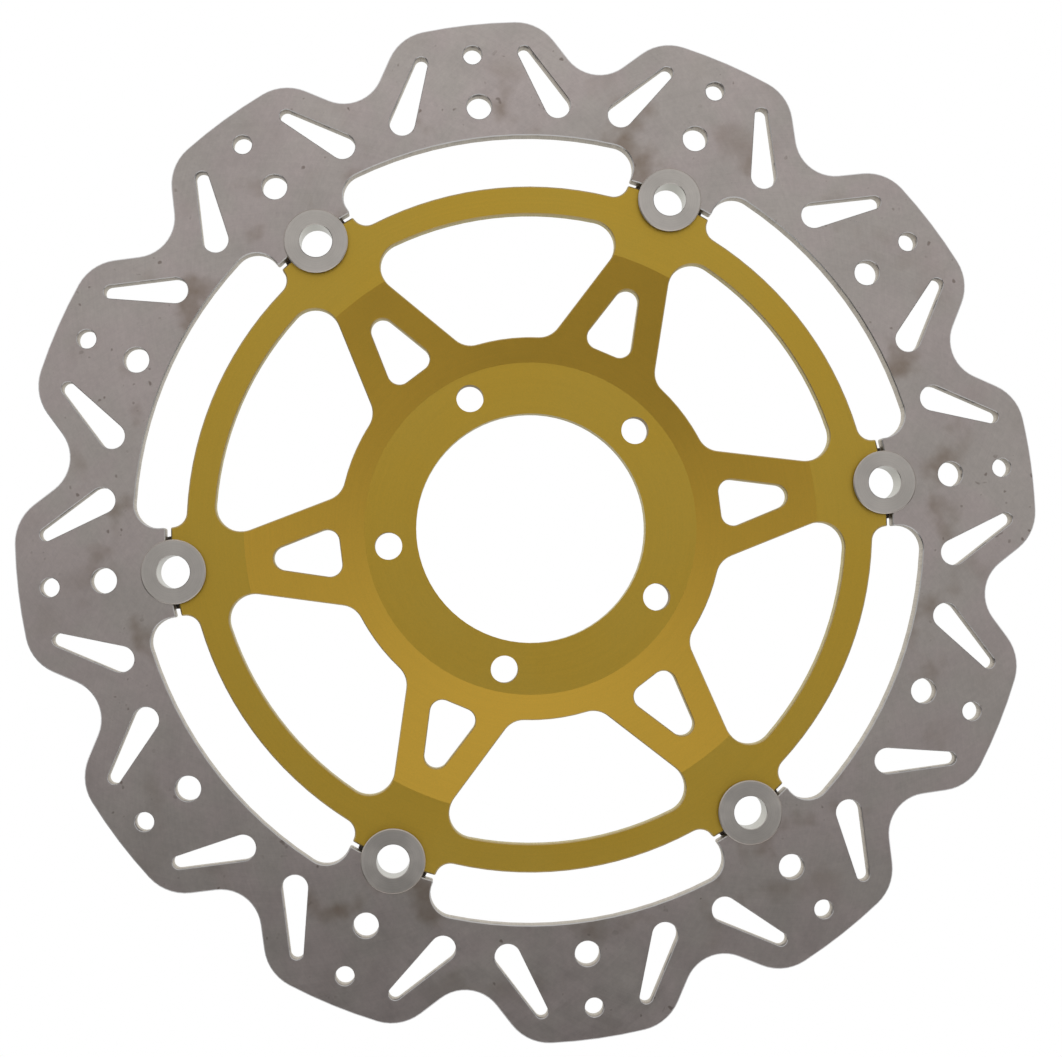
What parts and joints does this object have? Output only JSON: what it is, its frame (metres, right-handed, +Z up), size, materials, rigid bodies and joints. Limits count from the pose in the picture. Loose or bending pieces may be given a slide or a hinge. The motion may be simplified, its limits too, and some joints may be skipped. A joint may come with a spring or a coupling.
{
  "type": "motorcycle brake disc rotor",
  "caption": "Floating brake disc: a steel ring with petal lobes, vents and slots on a dished alloy carrier, joined by hollow drive buttons with spring washers and circlips.",
  "frame": {"origin": "centre of the hub's mounting face, on the disc's axis", "axes": "+Y along the axis towards the wheel, +Z up, +X right as seen from the outer side; the first drive button is on +X"},
  "size_m": [0.308, 0.0159, 0.308],
  "materials": {
    "ring_steel": "ground stainless steel with fine crossing grinding marks",
    "carrier_gold": "satin gold anodised aluminium alloy",
    "button_steel": "fine turned steel",
    "spring_steel": "polished spring steel",
    "washer_steel": "blackened stamped steel, tumbled",
    "circlip_black": "phosphated and oiled spring steel"
  },
  "bodies": {
    "carrier": {"carrier": "carrier_gold"},
    "brake_ring": {"brake_ring": "ring_steel"},
    "drive_button_1": {"drive_button_1": "button_steel", "wave_washer_1": "spring_steel", "flat_washer_1": "washer_steel", "circlip_1": "circlip_black"},
    "drive_button_2": {"drive_button_2": "button_steel", "wave_washer_2": "spring_steel", "flat_washer_2": "washer_steel", "circlip_2": "circlip_black"},
    "drive_button_3": {"drive_button_3": "button_steel", "wave_washer_3": "spring_steel", "flat_washer_3": "washer_steel", "circlip_3": "circlip_black"},
    "drive_button_4": {"drive_button_4": "button_steel", "wave_washer_4": "spring_steel", "flat_washer_4": "washer_steel", "circlip_4": "circlip_black"},
    "drive_button_5": {"drive_button_5": "button_steel", "wave_washer_5": "spring_steel", "flat_washer_5": "washer_steel", "circlip_5": "circlip_black"},
    "drive_button_6": {"drive_button_6": "button_steel", "wave_washer_6": "spring_steel", "flat_washer_6": "washer_steel", "circlip_6": "circlip_black"}
  },
  "joints": [
    {"name": "ring_float", "type": "slide", "parent": "carrier", "child": "brake_ring", "axis": [0, 1, 0], "range_m": [-0.00025, 0.00025], "stiffness_N_per_m": 20000},
    {"name": "button_1_turn", "type": "hinge", "parent": "brake_ring", "child": "drive_button_1", "pos_m": [0.108, -0.0126, 0], "axis": [0, 1, 0], "continuous": true},
    {"name": "button_2_turn", "type": "hinge", "parent": "brake_ring", "child": "drive_button_2", "pos_m": [0.054, -0.0126, 0.09353], "axis": [0, 1, 0], "continuous": true},
    {"name": "button_3_turn", "type": "hinge", "parent": "brake_ring", "child": "drive_button_3", "pos_m": [-0.054, -0.0126, 0.09353], "axis": [0, 1, 0], "continuous": true},
    {"name": "button_4_turn", "type": "hinge", "parent": "brake_ring", "child": "drive_button_4", "pos_m": [-0.108, -0.0126, 0], "axis": [0, 1, 0], "continuous": true},
    {"name": "button_5_turn", "type": "hinge", "parent": "brake_ring", "child": "drive_button_5", "pos_m": [-0.054, -0.0126, -0.09353], "axis": [0, 1, 0], "continuous": true},
    {"name": "button_6_turn", "type": "hinge", "parent": "brake_ring", "child": "drive_button_6", "pos_m": [0.054, -0.0126, -0.09353], "axis": [0, 1, 0], "continuous": true}
  ]
}
